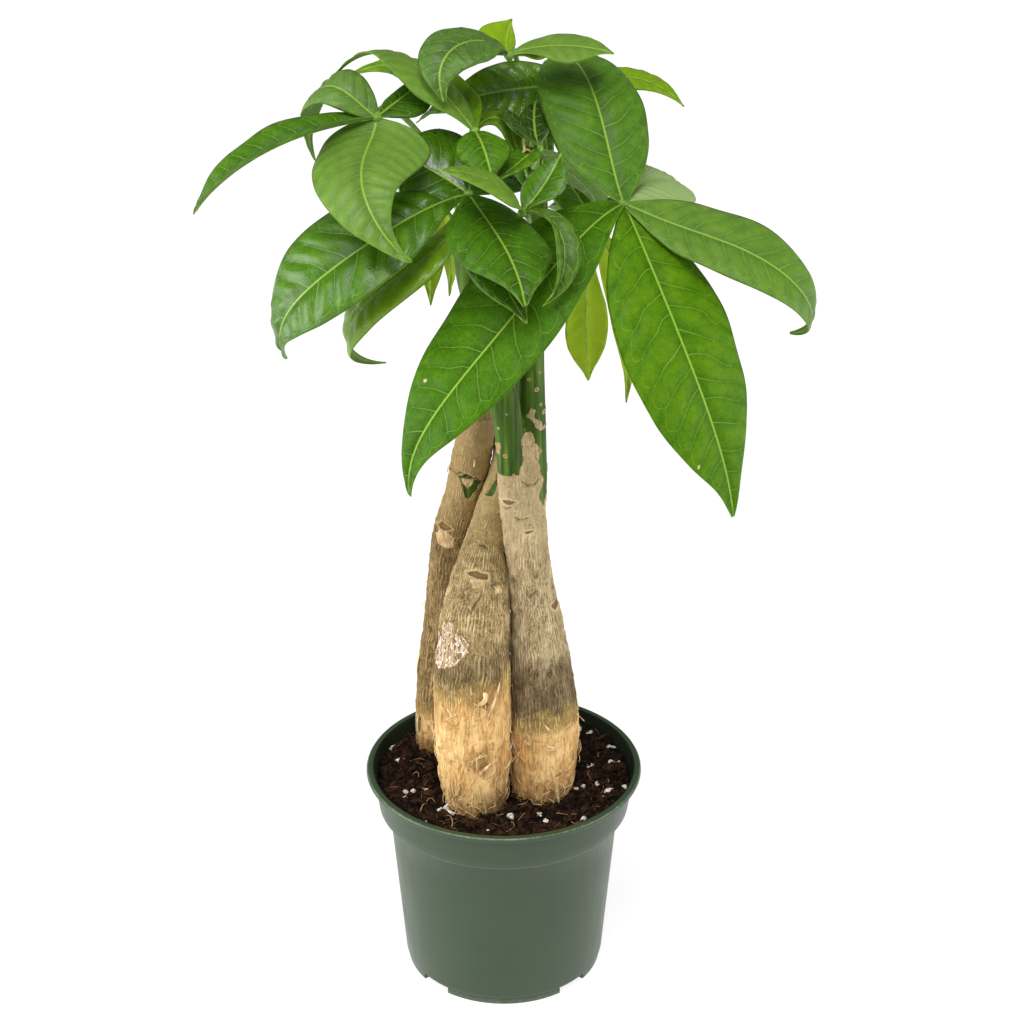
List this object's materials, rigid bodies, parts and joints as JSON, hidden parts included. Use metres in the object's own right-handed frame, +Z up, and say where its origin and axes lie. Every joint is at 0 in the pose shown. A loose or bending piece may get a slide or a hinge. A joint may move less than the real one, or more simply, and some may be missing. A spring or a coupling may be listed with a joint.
{
  "type": "potted money tree",
  "caption": "Potted money tree: upright swollen trunks rising together from a green nursery pot, with long green shoots and drooping palmate leaves.",
  "frame": {"origin": "on the floor under the middle of the plant's outer box, which lies about 2.5 mm along +X and 0.5 mm along +Y from the pot's axis", "axes": "+Z up along the pot's axis and the plant's height, -Y towards the viewer of the picture, +X to that viewer's right"},
  "size_m": [0.3139, 0.2421, 0.5665],
  "materials": {
    "pot_plastic": "satin moulded plastic",
    "potting_mix": "rough, damp and fibrous",
    "bark": "rough dry bark, green and smoother on the shoots",
    "leaf": "satin fresh leaf"
  },
  "bodies": {
    "root": {"pot": "pot_plastic", "soil": "potting_mix", "trunk_left": "bark", "trunk_front": "bark", "trunk_right": "bark", "leaf_right": "leaf", "leaf_centre": "leaf", "leaf_left": "leaf", "leaf_upper_left": "leaf", "leaf_top": "leaf", "leaf_upper_right": "leaf", "leaf_young_front": "leaf", "leaf_young_inner": "leaf", "leaf_back_right": "leaf", "leaf_back_left": "leaf", "leaf_back_upper": "leaf"}
  },
  "joints": []
}
